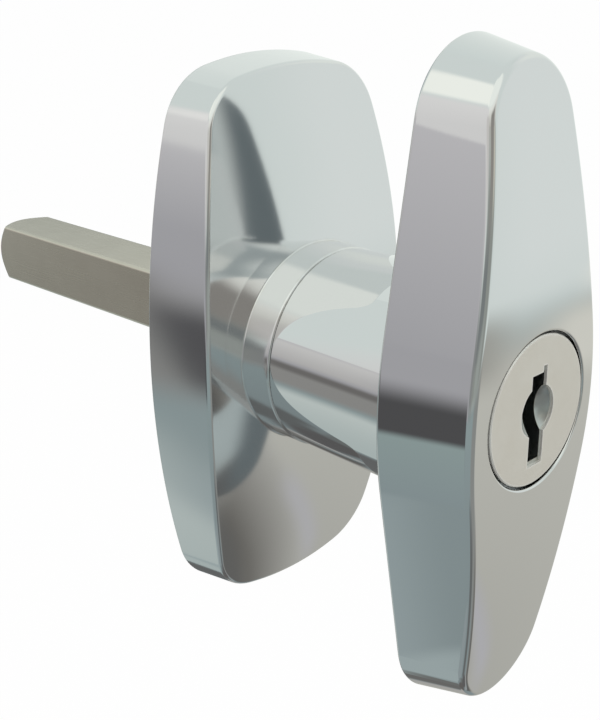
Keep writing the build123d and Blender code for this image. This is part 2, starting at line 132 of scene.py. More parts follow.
def loft(name, skin, closed=False):
    """A mesh of one closed skin. The skin is in millimetres, and each corner keeps its normal beside it."""
    count, length = len(skin.points), len(skin.points[0])
    verts = np.concatenate(skin.points) * MM
    normals = np.concatenate(skin.normals)
    faces = []
    for index in range(count if closed else count - 1):
        near, far = index * length, (index + 1) % count * length
        for step in range(length):
            after = (step + 1) % length
            faces.append((near + step, far + step, far + after, near + after))
    if not closed:
        faces.append(tuple(range(length)))
        faces.append(tuple(range((count - 1) * length, count * length))[::-1])
    mesh = bpy.data.meshes.new(name)
    mesh.from_pydata(verts.tolist(), [], faces)
    corners = normals[[loop.vertex_index for loop in mesh.loops]]
    mesh.attributes.new("facing", "FLOAT_VECTOR", "CORNER").data.foreach_set("vector", corners.ravel())
    return mesh


print("columns in a ring:", RING)

# %% [markdown]
# ## Joining and cutting
#
# A loft can't hold a hole in its side or a boss inside it. The bosses and ribs are joined on afterwards, and
# the holes of the cross pins, the bolt's channel and the notches that it locks into are cut, as a toolmaker
# would drill and mill them. Both are Boolean modifiers. They throw away custom normals but carry any other
# attribute along, so every corner keeps its normal in an attribute named facing, and that is written back at
# the end. The corners of a cutting tool face inward, as the walls of the hole that it makes do.

# %% Cutting tools
DRILL_SIDES = 64
OVERLAP = 1.0


def cutter(columns, way, start, end):
    """A straight tool that has this section, a loop of points across the way that it is driven."""
    shape = bmesh.new()
    facing = shape.loops.layers.float_vector.new("facing")
    near, far = ([shape.verts.new((Vector(point) + way * place) * MM) for point in columns]
                 for place in (start, end))
    shape.faces.new(near[::-1])
    shape.faces.new(far)
    for step, after in zip(range(len(columns)), (*range(1, len(columns)), 0)):
        shape.faces.new((near[step], near[after], far[after], far[step]))
    bmesh.ops.recalc_face_normals(shape, faces=shape.faces)
    axis = sum((vert.co for vert in shape.verts), Vector()) / len(shape.verts)
    for face in shape.faces:
        round_wall = len(columns) > 4 and abs(face.normal.dot(way)) < 0.5
        for loop in face.loops:
            spoke = loop.vert.co - axis
            inward = -(spoke - way * spoke.dot(way)).normalized()
            loop[facing] = inward if round_wall else -face.normal
    mesh = bpy.data.meshes.new("tool")
    shape.to_mesh(mesh)
    shape.free()
    return mesh


def drill(radius, depth, start, end):
    """A round tool across the turning axis, at this depth in front of the door."""
    turns = np.linspace(0, 2 * pi, DRILL_SIDES, endpoint=False)
    section = [(0, radius * cos(turn) - depth, radius * sin(turn)) for turn in turns]
    return cutter(section, Vector((1, 0, 0)), start, end)


def mill(half_width, back, front, start, end, quarter=0):
    """A square tool that works outward from the axis, to the right or some quarter turns from there."""
    way = Matrix.Rotation(radians(90 * quarter), 3, "Y") @ Vector((1, 0, 0))
    side = Vector((0, 1, 0)).cross(way) * half_width
    section = ((-1, back), (1, back), (1, front), (-1, front))
    return cutter([side * sign - Vector((0, depth, 0)) for sign, depth in section], way, start, end)


print("a drill has", DRILL_SIDES, "sides, and tools reach", OVERLAP, "mm into the open")

# %% Castings from lofts, joins and cuts
def worked(piece, joined, cut):
    """The mesh of a piece after meshes are joined to it and others are cut from it."""
    tools = []
    for operation, meshes in (("UNION", joined), ("DIFFERENCE", cut)):
        for mesh in meshes:
            tool = bpy.data.objects.new("tool", mesh)
            scene.collection.objects.link(tool)
            step = piece.modifiers.new("step", "BOOLEAN")
            step.operation, step.solver, step.object = operation, "MANIFOLD", tool
            tools.append(tool)
    bpy.context.view_layer.update()
    made = bpy.data.meshes.new_from_object(piece.evaluated_get(bpy.context.evaluated_depsgraph_get()))
    piece.modifiers.clear()
    for tool in tools:
        bpy.data.objects.remove(tool)
    return made


def casting(body_mesh, joined, cut, body, node):
    """Makes one piece of a loft and its joins and cuts, and lets it stand for a CAD node."""
    piece = bpy.data.objects.new(body_mesh.name, body_mesh)
    scene.collection.objects.link(piece)
    made = worked(piece, joined, cut)
    made.materials.clear()
    made.polygons.foreach_set("material_index", [0] * len(made.polygons))
    corners = np.zeros(len(made.loops) * 3)
    made.attributes["facing"].data.foreach_get("vector", corners)
    made.attributes.remove(made.attributes["facing"])
    corners = corners.reshape(-1, 3)
    made.shade_smooth()
    made.normals_split_custom_set(corners / np.linalg.norm(corners, axis=1)[:, None])
    piece.data = made
    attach(piece, body)
    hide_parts(node)
    print(piece.name, len(made.vertices), "vertices,", len(made.polygons), "faces,",
          len(joined), "joins,", len(cut), "cuts")
    return piece

# %% [markdown]
# ## The forms that both castings share
#
# Seen from the front, the bar and the plate are each made of arcs that run into one another, and each is the
# same in all four quarters, so one quarter is worked out and mirrored. From there a wall leans inward by the
# draft angle that lets a casting leave its die. The front is a crown: a long flat arc swept along another.
# Wall and crown meet in a round edge, which is where a ball of that radius would roll while touching both.

# %% Outlines
def arc(centre, radius, start, end):
    """A run of an outline: its length, and the point and outward direction at a share of it."""
    def place(share):
        angle = start + (end - start) * share
        outward = np.array([cos(angle), sin(angle)])
        return np.array(centre) + radius * outward, outward
    return radius * (end - start), place


def straight(start, end, outward):
    """A straight run of an outline."""
    def place(share):
        return start + (end - start) * share, outward
    return float(np.linalg.norm(end - start)), place


def four_quarters(values):
    """One quarter's values, mirrored to all four."""
    across = values[::-1] * (-1, 1)
    return np.concatenate([values, across, -values, -across])


def outline(*runs, count=RING):
    """Even points along one quarter's runs, mirrored to all four, with the outward direction of each."""
    total = sum(length for length, place in runs)
    points, outwards = [], []
    for step in range(count // 4):
        travelled = (step + 0.5) / (count // 4) * total
        for length, place in runs:
            if travelled <= length:
                break
            travelled -= length
        point, outward = place(travelled / length)
        points.append(point)
        outwards.append(outward)
    return four_quarters(np.array(points)), four_quarters(np.array(outwards))


def in_space(across_and_up, depth):
    """Puts points of the front view at a depth in front of the door. The front faces -Y."""
    backward = -np.broadcast_to(depth, len(across_and_up))
    return np.column_stack([across_and_up[:, 0], backward, across_and_up[:, 1]])


def front_of(ring):
    """The front view of a ring of points in space."""
    return ring[:, [0, 2]]


print("a quarter has", RING // 4, "columns")

# %% Crowns and walls
class Crown:
    """A front that is domed along its height by one radius and across its width by another."""

    def __init__(self, front, along, across):
        self.front, self.along, self.across = front, along, across

    def depth(self, points, under=0.0):
        """The depth of the surface that lies a distance under the crown."""
        x, z = points[:, 0], points[:, 1]
        reach = self.along - self.across + np.sqrt((self.across - under) ** 2 - x**2)
        return np.sqrt(reach**2 - z**2) - (self.along - self.front)

    def normals(self, points, under=0.0):
        """The directions that the crown faces at these points of the front view."""
        x, z = points[:, 0], points[:, 1]
        fall = np.sqrt((self.across - under) ** 2 - x**2)
        reach = self.along - self.across + fall
        made = np.column_stack([x / fall, -np.sqrt(1 - (z / reach) ** 2), z / reach])
        return made / np.linalg.norm(made, axis=1)[:, None]


class Wall:
    """A wall that follows an outline and leans inward towards the front."""

    def __init__(self, outline, back, draft, inset=0.0):
        self.base, self.outward = outline
        self.back, self.draft, self.start = back, radians(draft), inset

    def inset(self, depth):
        """How far inside the outline the wall stands at a depth."""
        return self.start + (depth - self.back) * tan(self.draft)

    def front_view(self, inset):
        """The outline, moved inward."""
        return self.base - np.broadcast_to(inset, len(self.base))[:, None] * self.outward

    def points(self, depth):
        """The wall's ring at a depth."""
        return in_space(self.front_view(self.inset(depth)), depth)

    def normals(self):
        """The directions that the wall faces, which are the same at every depth."""
        return in_space(self.outward * cos(self.draft), sin(self.draft))

# %% Round edges
ROLLING_STEPS = 20


def blend(start, end, share):
    """A direction between two others."""
    made = start * (1 - share) + end * share
    return made / np.linalg.norm(made, axis=1)[:, None]


def rolled(middle, start, end, radius, steps):
    """Rings of the surface that a ball touches, from one direction to another, seen from its centre."""
    skin = Skin()
    for share in np.linspace(0, 1, steps):
        direction = blend(start, end, share)
        skin.add(middle + radius * direction, direction)
    return skin


def front_edge(wall, crown, radius, steps=10):
    """The round edge between a wall and a crown, from the crown to the wall."""
    depth = np.full(RING, crown.front - radius)
    for _ in range(ROLLING_STEPS):
        middle = wall.front_view(wall.inset(depth) + radius / cos(wall.draft))
        depth = crown.depth(middle, radius)
    crown_way = crown.normals(middle, radius)
    return rolled(in_space(middle, depth), crown_way, wall.normals(), radius, steps)


def crown_strip(crown, start, end, steps):
    """Rings over a crown between two loops of the front view."""
    skin = Skin()
    for share in np.linspace(0, 1, steps)[1:-1]:
        points = start * (1 - share) + end * share
        skin.add(in_space(points, crown.depth(points)), crown.normals(points))
    return skin


def wall_strip(skin, near, far, normals):
    """Adds three rings between two others, where the surface runs straight from one to the other."""
    for share in (0.25, 0.5, 0.75):
        skin.add(near * (1 - share) + far * share, normals)


print("a round edge is settled in", ROLLING_STEPS, "steps")

# %% Turned forms
INNER_CORNER = 0.1


def turned(columns, corners, steps=5):
    """A turned surface through (radius, depth, rounding) corners, with the metal on the right of the way."""
    skin = Skin()
    path = [np.array(corner[:2], dtype=float) for corner in corners]

    def ring(place, normal):
        """One ring at a radius and depth, facing outward and forward by these amounts."""
        points = in_space(columns * place[0], place[1])
        skin.add(points, in_space(columns * normal[0], normal[1]))

    for index, corner in enumerate(path):
        ways = []
        if index:
            ways.append((corner - path[index - 1]) / np.linalg.norm(corner - path[index - 1]))
        if index < len(path) - 1:
            ways.append((path[index + 1] - corner) / np.linalg.norm(path[index + 1] - corner))
        sides = [np.array([-way[1], way[0]]) for way in ways]
        if len(ways) == 1:
            ring(corner, sides[0])
            continue
        rounding = corners[index][2] if len(corners[index]) > 2 else INNER_CORNER
        turning = ways[0][0] * ways[1][1] - ways[0][1] * ways[1][0]
        radius = -np.sign(turning) * rounding
        reach = rounding * tan(np.arccos(np.clip(ways[0] @ ways[1], -1, 1)) / 2)
        middle = corner - ways[0] * reach - radius * sides[0]
        for share in np.linspace(0, 1, steps):
            side = sides[0] * (1 - share) + sides[1] * share
            side /= np.linalg.norm(side)
            ring(middle + radius * side, side)
    return skin


print("a corner without a rounding of its own gets", INNER_CORNER, "mm")

# %% [markdown]
# ## The handle
#
# The bar, its shank and the journal that turns inside the escutcheon are one casting. The loft starts at the
# floor of the lock's bore, comes forward to the bore's rounded rim, spreads over the crown to the front edge,
# runs back down the drafted wall, and closes in along the bar's back to the shank. Every ring has the same
# number of columns, so the long outline of the bar gathers into the circles without a seam.

# %% Outline, wall and crown of the bar
BAR_HALF_WIDTH, BAR_HALF_HEIGHT, BAR_SIDE_ARC, BAR_END_ARC = 13.55, 37.7, 48.5, 9.05
BAR_BACK, BAR_FRONT, BAR_DRAFT = 30.6, 41.6, 13.0
BAR_ALONG, BAR_ACROSS = 170.0, 97.0

side_centre = np.array([BAR_HALF_WIDTH - BAR_SIDE_ARC, 0])
end_centre = np.array([0, BAR_HALF_HEIGHT - BAR_END_ARC])
between = end_centre - side_centre
closing = np.arccos((BAR_SIDE_ARC - BAR_END_ARC) / np.linalg.norm(between))
lean = atan2(between[1], between[0]) - closing
leaning = np.array([cos(lean), sin(lean)])
bar = outline(
    arc(side_centre, BAR_SIDE_ARC, 0, lean),
    straight(side_centre + leaning * BAR_SIDE_ARC, end_centre + leaning * BAR_END_ARC, leaning),
    arc(end_centre, BAR_END_ARC, lean, pi / 2),
)
bar_wall = Wall(bar, BAR_BACK, BAR_DRAFT)
bar_crown = Crown(BAR_FRONT, BAR_ALONG, BAR_ACROSS)
bar_columns = bar[0] / np.linalg.norm(bar[0], axis=1)[:, None]
backward_facing = in_space(bar_columns * 0, -1.0)
print("bar:", 2 * BAR_HALF_WIDTH, "by", 2 * BAR_HALF_HEIGHT, "mm, front at", BAR_FRONT)

# %% Lock bore, crown and wall
LOCK_BORE, LOCK_RIM, BORE_MOUTH = 8.6, 0.25, 39.4
CAM_CHAMBER, CHAMBER_FLOOR = 7.3, 12.3
CLIP_POCKET, POCKET_BACK, POCKET_FRONT = 8.0, 20.92, 22.6
BAR_FRONT_EDGE, BAR_BACK_EDGE = 1.0, 0.35
BAR_CROWN_STEPS = 25

handle = Skin()
handle.extend(turned(bar_columns, [
    (1.0, CHAMBER_FLOOR), (CAM_CHAMBER, CHAMBER_FLOOR), (CAM_CHAMBER, POCKET_BACK),
    (CLIP_POCKET, POCKET_BACK), (CLIP_POCKET, POCKET_FRONT), (LOCK_BORE, POCKET_FRONT),
    (LOCK_BORE, BORE_MOUTH),
]))
rim_middle = bar_columns * (LOCK_BORE + LOCK_RIM)
rim = rolled(
    in_space(rim_middle, bar_crown.depth(rim_middle, LOCK_RIM)),
    in_space(-bar_columns, 0.0), bar_crown.normals(rim_middle, LOCK_RIM), LOCK_RIM, 6,
)
edge = front_edge(bar_wall, bar_crown, BAR_FRONT_EDGE)
handle.extend(rim)
crown_ends = front_of(rim.points[-1]), front_of(edge.points[0])
handle.extend(crown_strip(bar_crown, *crown_ends, BAR_CROWN_STEPS))
handle.extend(edge)
back_inset = bar_wall.inset(BAR_BACK + BAR_BACK_EDGE) + BAR_BACK_EDGE / cos(bar_wall.draft)
back_middle = in_space(bar_wall.front_view(back_inset), BAR_BACK + BAR_BACK_EDGE)
back = rolled(back_middle, bar_wall.normals(), backward_facing, BAR_BACK_EDGE, 6)
wall_strip(handle, edge.points[-1], back.points[0], bar_wall.normals())
handle.extend(back)
print("rings from the lock's bore to the bar's back:", len(handle.points))

# %% Shank and journal
SHANK_ROOT, SHANK_FRONT, SHANK_FILLET = 12.9, 12.55, 0.3
SHANK, SHANK_LIP, LIP_INSIDE, SHANK_BACK = 11.9, 13.8, 11.4, 13.95
LIP_OUTER_EDGE, LIP_INNER_EDGE = 0.12, 0.05
JOURNAL, JOURNAL_STRAIGHT = 8.5, 3.9
SEAL_GROOVE, SEAL_BACK, SEAL_FRONT = 7.14, 7.15, 8.65

inner_ring = in_space(bar_columns * SHANK_ROOT, BAR_BACK)
wall_strip(handle, in_space(front_of(back.points[-1]), BAR_BACK), inner_ring, backward_facing)
handle.extend(turned(bar_columns, [
    (SHANK_ROOT, BAR_BACK), (SHANK_FRONT, BAR_BACK, SHANK_FILLET), (SHANK, SHANK_LIP, LIP_OUTER_EDGE),
    (LIP_INSIDE, SHANK_LIP, LIP_INNER_EDGE), (LIP_INSIDE, SHANK_BACK, LIP_INNER_EDGE),
    (JOURNAL, SHANK_BACK), (JOURNAL, SEAL_FRONT), (SEAL_GROOVE, SEAL_FRONT), (SEAL_GROOVE, SEAL_BACK),
    (JOURNAL, SEAL_BACK), (JOURNAL, JOURNAL_STRAIGHT),
]))
print("rings to the journal:", len(handle.points))

# %% Flats, circlip groove and spindle socket
JOURNAL_FLAT, FLATS_START, JOURNAL_BACK, LAND_EDGE = 7.2, 3.82, 0.84, 0.15
GROOVE, GROOVE_BACK, GROOVE_FRONT, GROOVE_EDGE = 7.6, 1.11, 2.07, 0.02
SOCKET_HALF, SOCKET_DEPTH, SOCKET_EDGE, SOCKET_CORNER = 4.05, 8.7, 0.15, 0.05


def flatted(radius, depth, radial, forward):
    """A ring of the journal where two flats are milled on it for the stop washer."""
    points = bar_columns * radius
    flat = np.abs(points[:, 0]) > JOURNAL_FLAT
    points[:, 0] = np.clip(points[:, 0], -JOURNAL_FLAT, JOURNAL_FLAT)
    normals = bar_columns * radial
    normals[flat] = np.column_stack([np.sign(points[flat, 0]), 0 * points[flat, 0]]) * radial
    handle.add(in_space(points, depth), in_space(normals, forward))


flatted(JOURNAL, FLATS_START, 1.0, 0.0)
flatted(JOURNAL, GROOVE_FRONT, 1.0, -0.2)
flatted(GROOVE, GROOVE_FRONT - GROOVE_EDGE, 0.2, -1.0)
flatted(GROOVE, GROOVE_BACK + GROOVE_EDGE, 0.2, 1.0)
flatted(JOURNAL, GROOVE_BACK, 1.0, 0.2)
flatted(JOURNAL, JOURNAL_BACK + LAND_EDGE, 1.0, -0.4)
flatted(JOURNAL - LAND_EDGE, JOURNAL_BACK, 0.4, -1.0)
square = bar_columns / np.max(np.abs(bar_columns), axis=1)[:, None]
socket_wall = in_space(-bar_columns, 0.0)
handle.add(in_space(square * (SOCKET_HALF + SOCKET_EDGE), JOURNAL_BACK), backward_facing)
handle.add(in_space(square * SOCKET_HALF, JOURNAL_BACK + SOCKET_EDGE), socket_wall)
handle.add(in_space(square * SOCKET_HALF, SOCKET_DEPTH - SOCKET_CORNER), socket_wall)
handle.add(in_space(square * (SOCKET_HALF - SOCKET_CORNER), SOCKET_DEPTH), backward_facing)
print("rings of the whole handle:", len(handle.points))

# %% Pin holes and bolt channel
HOUSING_PIN, HOUSING_PIN_DEPTH = 1.02, 37.6
SPINDLE_PIN, SPINDLE_PIN_DEPTH = 1.27, 5.6
CHANNEL_HALF, CHANNEL_BACK, CHANNEL_FRONT, CHANNEL_END = 2.45, 9.3, 12.3, -4.85
OUTSIDE = 15.0

handle_casting = casting(loft("handle_casting", handle), [], [
    drill(HOUSING_PIN, HOUSING_PIN_DEPTH, LOCK_BORE - OVERLAP, OUTSIDE),
    drill(SPINDLE_PIN, SPINDLE_PIN_DEPTH, -OUTSIDE, OUTSIDE),
    mill(CHANNEL_HALF, CHANNEL_BACK, CHANNEL_FRONT, CHANNEL_END, JOURNAL + OVERLAP),
], "handle", "t_handle")

# %% [markdown]
# ## The escutcheon
#
# The plate is built the same way: out of the bore, over the collar, across the crown and down the drafted
# wall. It then goes on round the rim, through the gasket's seat and over the hollow back to the hub, where
# the last ring meets the first. The screw bosses, the ribs between them and the two lugs that stop the
# handle stand in that hollow as skins of their own, because a loft through them would need seams.

# %% Outline, wall and crown of the plate
PLATE_HALF_WIDTH, PLATE_HALF_HEIGHT = 17.7, 33.2
PLATE_SIDE_ARC, PLATE_END_ARC, PLATE_CORNER_ARC = 103.0, 41.0, 8.1
PLATE_FRONT, PLATE_DRAFT, PLATE_WALL = 10.2, 6.5, 2.4
PLATE_ALONG, PLATE_ACROSS = 130.0, 110.0

side_centre = np.array([PLATE_HALF_WIDTH - PLATE_SIDE_ARC, 0])
end_centre = np.array([0, PLATE_HALF_HEIGHT - PLATE_END_ARC])
between = end_centre - side_centre
apart = np.linalg.norm(between)
to_side, to_end = PLATE_SIDE_ARC - PLATE_CORNER_ARC, PLATE_END_ARC - PLATE_CORNER_ARC
share = (to_side**2 - to_end**2 + apart**2) / (2 * apart)
away = sqrt(to_side**2 - share**2)
corner_centre = side_centre + (share * between + away * np.array([-between[1], between[0]])) / apart
side_lean = atan2(*(corner_centre - side_centre)[::-1])
end_lean = atan2(*(corner_centre - end_centre)[::-1])
plate = outline(
    arc(side_centre, PLATE_SIDE_ARC, 0, side_lean),
    arc(corner_centre, PLATE_CORNER_ARC, side_lean, end_lean),
    arc(end_centre, PLATE_END_ARC, end_lean, pi / 2),
)
plate_wall = Wall(plate, 0.0, PLATE_DRAFT)
plate_crown = Crown(PLATE_FRONT, PLATE_ALONG, PLATE_ACROSS)
hollow_wall = Wall(plate, 0.0, PLATE_DRAFT, PLATE_WALL)
hollow_crown = Crown(PLATE_FRONT - PLATE_WALL, PLATE_ALONG - PLATE_WALL, PLATE_ACROSS - PLATE_WALL)
plate_columns = plate[0] / np.linalg.norm(plate[0], axis=1)[:, None]
outward_facing = in_space(plate_columns, 0.0)
backward_facing = in_space(plate_columns * 0, -1.0)
print("plate:", 2 * PLATE_HALF_WIDTH, "by", 2 * PLATE_HALF_HEIGHT, "mm, front at", PLATE_FRONT)

# %% Collar, crown and wall of the plate
COLLAR, COLLAR_FRONT, COLLAR_EDGE, COLLAR_FOOT = 12.05, 13.75, 0.25, 10.4
BORE, BORE_START, WASHER_ROOM, WASHER_SEAT = 8.57, 4.3, 10.95, 12.95
FOOT, PLATE_FRONT_EDGE, RIM_EDGE = 0.2, 0.6, 0.15
PLATE_CROWN_STEPS = 30

shell = Skin()
shell.extend(turned(plate_columns, [
    (BORE, BORE_START), (BORE, WASHER_SEAT), (WASHER_ROOM, WASHER_SEAT), (WASHER_ROOM, COLLAR_FRONT),
    (COLLAR, COLLAR_FRONT, COLLAR_EDGE), (COLLAR, COLLAR_FOOT),
]))
foot_middle = plate_columns * (COLLAR + FOOT)
foot = rolled(
    in_space(foot_middle, plate_crown.depth(foot_middle, -FOOT)),
    outward_facing, plate_crown.normals(foot_middle, -FOOT), -FOOT, 5,
)
edge = front_edge(plate_wall, plate_crown, PLATE_FRONT_EDGE)
shell.extend(foot)
crown_ends = front_of(foot.points[-1]), front_of(edge.points[0])
shell.extend(crown_strip(plate_crown, *crown_ends, PLATE_CROWN_STEPS))
shell.extend(edge)
rim_middle = plate_wall.front_view(plate_wall.inset(RIM_EDGE) + RIM_EDGE / cos(plate_wall.draft))
rim = rolled(in_space(rim_middle, RIM_EDGE), plate_wall.normals(), backward_facing, RIM_EDGE, 4)
wall_strip(shell, edge.points[-1], rim.points[0], plate_wall.normals())
shell.extend(rim)
print("rings from the bore to the plate's rim:", len(shell.points))

# %% Gasket seat, hollow back and hub
SEAT_INSET, SEAT_DEPTH, SEAT_CORNER = 0.88, 1.1, 0.05
HOLLOW_CORNER, HOLLOW_STEPS = 0.5, 14
HUB, HUB_BACK, HUB_EDGE, HUB_FOOT, HUB_TOP = 11.2, 3.85, 0.2, 0.2, 4.4
BORE_EDGE, BORE_END = 0.15, 4.2

inward = in_space(-plate[1], 0.0)
shell.add(in_space(plate_wall.front_view(SEAT_INSET - INNER_CORNER), 0.0), backward_facing)
shell.add(in_space(plate_wall.front_view(SEAT_INSET), INNER_CORNER), inward)
shell.add(in_space(plate_wall.front_view(SEAT_INSET), SEAT_DEPTH - SEAT_CORNER), inward)
shell.add(in_space(plate_wall.front_view(SEAT_INSET + SEAT_CORNER), SEAT_DEPTH), backward_facing)
seat_end = hollow_wall.inset(SEAT_DEPTH) - INNER_CORNER
shell.add(in_space(hollow_wall.front_view(seat_end), SEAT_DEPTH), backward_facing)
shell.add(hollow_wall.points(SEAT_DEPTH + INNER_CORNER), -hollow_wall.normals())
corner = front_edge(hollow_wall, hollow_crown, HOLLOW_CORNER)
shell.extend(corner, flip=True)
hub_foot = plate_columns * (HUB + HUB_FOOT)
hub_floor = hollow_crown.depth(hub_foot)
hollow = crown_strip(hollow_crown, hub_foot, front_of(corner.points[0]), HOLLOW_STEPS)
shell.extend(hollow, flip=True)
shell.add(in_space(hub_foot, hub_floor), backward_facing)
shell.add(in_space(plate_columns * HUB, hub_floor - HUB_FOOT), outward_facing)
shell.extend(turned(plate_columns, [
    (HUB, HUB_TOP), (HUB, HUB_BACK, HUB_EDGE), (BORE, HUB_BACK, BORE_EDGE), (BORE, BORE_END),
]))
print("rings of the whole plate:", len(shell.points))

# %% [markdown]
# ## Bosses, ribs and stop lugs
#
# Two screws from inside the door hold the plate, and their bosses are threaded. A thread is often drawn as a
# bump alone, but here it is seen at an angle, so it is a real groove: the radius of the hole rises and falls
# with the depth, and the wave starts a little later at every column. Ribs stiffen the bosses, and two square
# lugs stop the washer that turns with the handle.

# %% Threaded boss
SCREW_PLACE, BOSS, BOSS_BASE, BOSS_EDGE = 22.0, 4.3, 7.0, 0.3
THREAD, THREAD_DEPTH, THREAD_START, PITCH = 2.1, 0.35, 0.3, 0.8
HOLE_DEPTH, HOLE_END, HOLE_CENTRE = 5.2, 0.2, 0.4
PITCH_STEPS, SMALL_RING = 8, 96
around = np.linspace(0, 2 * pi, SMALL_RING, endpoint=False)
circle = np.column_stack([np.cos(around), np.sin(around)])


def boss(middle):
    """A boss on the plate's back, with an M5 thread cut into its hole as a spiral wave of the radius."""
    mouth = THREAD + THREAD_DEPTH
    skin = turned(circle, [(BOSS, BOSS_BASE), (BOSS, 0.0, BOSS_EDGE), (mouth, 0.0), (mouth, THREAD_START)])
    for depth in np.arange(THREAD_START + 0.1, HOLE_DEPTH - 0.3, PITCH / PITCH_STEPS):
        phase = (depth / PITCH - around / (2 * pi)) % 1
        height = 1 - np.abs(2 * phase - 1)
        points = circle * (THREAD + THREAD_DEPTH * height)[:, None]
        skin.add(in_space(points, depth), in_space(-circle, np.where(phase < 0.5, 0.8, -0.8)))
    skin.extend(turned(circle, [
        (THREAD, HOLE_DEPTH - HOLE_END), (THREAD, HOLE_DEPTH), (HOLE_CENTRE, HOLE_DEPTH),
    ]))
    skin.points = [ring + (0, 0, middle) for ring in skin.points]
    return skin


print("thread: pitch", PITCH, "mm,", HOLE_DEPTH, "mm deep")

# %% Block with rounded edges
def block(left, right, bottom, top, back, front, rounding=0.25):
    """A block that rises from the plate, with rounded edges."""
    half_x, half_z = (right - left) / 2, (top - bottom) / 2
    corner = np.array([half_x - rounding, half_z - rounding])
    sides = outline(
        straight(np.array([half_x, 0]), np.array([half_x, corner[1]]), np.array([1, 0])),
        arc(corner, rounding, 0, pi / 2),
        straight(np.array([corner[0], half_z]), np.array([0, half_z]), np.array([0, 1])),
        count=SMALL_RING,
    )
    wall = Wall(sides, back, 0.0)
    edge_middle = in_space(wall.front_view(rounding), back + rounding)
    skin = rolled(edge_middle, wall.normals(), in_space(sides[0] * 0, -1.0), rounding, 4)
    skin.points.insert(0, wall.points(front))
    skin.normals.insert(0, wall.normals())
    skin.points = [ring + ((left + right) / 2, 0, (bottom + top) / 2) for ring in skin.points]
    return skin

# %% Two bosses, two ribs and two lugs
RIB, RIB_BACK, RIB_IN_HUB, RIB_IN_BOSS = 0.9, 4.3, 0.6, 3.5
LUG_TOP, LUG_SIZE, LUG_BACK, LUG_REACH, LUG_IN_HUB = -1.85, 2.6, 2.42, 13.3, 1.2
IN_METAL = 8.0
inside = []
for side in (-1, 1):
    inside.append(loft("boss", boss(side * SCREW_PLACE)))
    low, high = sorted((side * (HUB - RIB_IN_HUB), side * (SCREW_PLACE - RIB_IN_BOSS)))
    inside.append(loft("rib", block(-RIB, RIB, low, high, RIB_BACK, IN_METAL)))
    low, high = sorted((side * (HUB - LUG_IN_HUB), side * LUG_REACH))
    inside.append(loft("lug", block(low, high, LUG_TOP - LUG_SIZE, LUG_TOP, LUG_BACK, IN_METAL)))
print("forms in the hollow:", len(inside))

# %% Notches for the locking bolt, and room for the stop washer
NOTCH_HALF, NOTCH_BACK, NOTCH_REACH, PAST_SEAT = 2.65, 9.1, 10.5, 0.4
NOTCHES = 4
notches = [
    mill(NOTCH_HALF, NOTCH_BACK, WASHER_SEAT + PAST_SEAT, BORE - OVERLAP, NOTCH_REACH, quarter)
    for quarter in range(NOTCHES)
]
hub_section = [(x * HUB, 0, z * HUB) for x, z in plate_columns]
washer_room = cutter(hub_section, Vector((0, -1, 0)), -OVERLAP, HUB_BACK)
escutcheon_casting = casting(
    loft("escutcheon_casting", shell, closed=True), inside, [*notches, washer_room],
    "escutcheon", "escutcheon",
)

# %% [markdown]
# ## Writing shaders as sums
#
# A shader tree is a drawing of boxes and wires, and in a script it soon becomes unreadable. The class below
# wraps one socket of a tree. Adding or multiplying two of them adds a Math node and gives back its output,
# so a mask can be written as it would be on paper. Every other node comes from the method called node.

# %% Sockets with arithmetic
class Wire:
    """A socket of a shader tree. Arithmetic on it adds Math nodes."""

    def __init__(self, tree, socket=None):
        self.tree, self.socket = tree, socket

    def node(self, kind, settings=(), links=(), out=0):
        """Adds a node of this type, makes its settings first, and then fills or links its sockets."""
        made = self.tree.nodes.new("ShaderNode" + kind)
        for name, value in dict(settings).items():
            if name == "stops":
                elements = made.color_ramp.elements
                while len(elements) < len(value):
                    elements.new(0.5)
                for element, (position, colour) in zip(elements, value):
                    element.position = position
                    element.color = (*colour, 1)
            else:
                setattr(made, name, value)
        for name, value in dict(links).items():
            if isinstance(value, Wire):
                self.tree.links.new(value.socket, made.inputs[name])
            else:
                made.inputs[name].default_value = (*value, 1) if made.inputs[name].type == "RGBA" else value
        return Wire(self.tree, made.outputs[out]) if len(made.outputs) else None

    def maths(self, operation, *values):
        return self.node("Math", {"operation": operation}, enumerate(values))

    def __add__(self, other):
        return self.maths("ADD", self, other)

    def __sub__(self, other):
        return self.maths("SUBTRACT", self, other)

    def __rsub__(self, other):
        return self.maths("SUBTRACT", other, self)

    def __mul__(self, other):
        return self.maths("MULTIPLY", self, other)

    def __truediv__(self, other):
        return self.maths("DIVIDE", self, other)

    __radd__, __rmul__ = __add__, __mul__

    def ramp(self, *stops):
        """A colour for each place between the stops."""
        return self.node("ValToRGB", {"stops": stops}, {"Fac": self})

    def between(self, low, high):
        """Rises smoothly from 0 to 1 while this value goes from low to high."""
        settings = {"interpolation_type": "SMOOTHSTEP"}
        return self.node("MapRange", settings, {"Value": self, "From Min": low, "From Max": high})

    def mix(self, first, second):
        """Goes from the first colour to the second as this value goes from 0 to 1."""
        return self.node("Mix", {"data_type": "RGBA"}, {0: self, 6: first, 7: second}, 2)

    def stretched(self, *scales):
        """This vector, scaled along each axis."""
        return self.node("VectorMath", {"operation": "MULTIPLY"}, {0: self, 1: scales})

    def noise(self, scale, detail=2.0, roughness=0.5):
        """Cloudy values from 0 to 1 at this vector."""
        links = {"Vector": self, "Scale": scale, "Detail": detail, "Roughness": roughness}
        return self.node("TexNoise", {}, links, "Fac")


def blank(tree):
    """Empties a tree and gives a first wire in it, which isn't joined to anything yet."""
    tree.nodes.clear()
    return Wire(tree)


def new_finish(name):
    """A new material and a first wire in its tree."""
    made = bpy.data.materials.new(name)
    made.use_nodes = True
    return made, blank(made.node_tree)

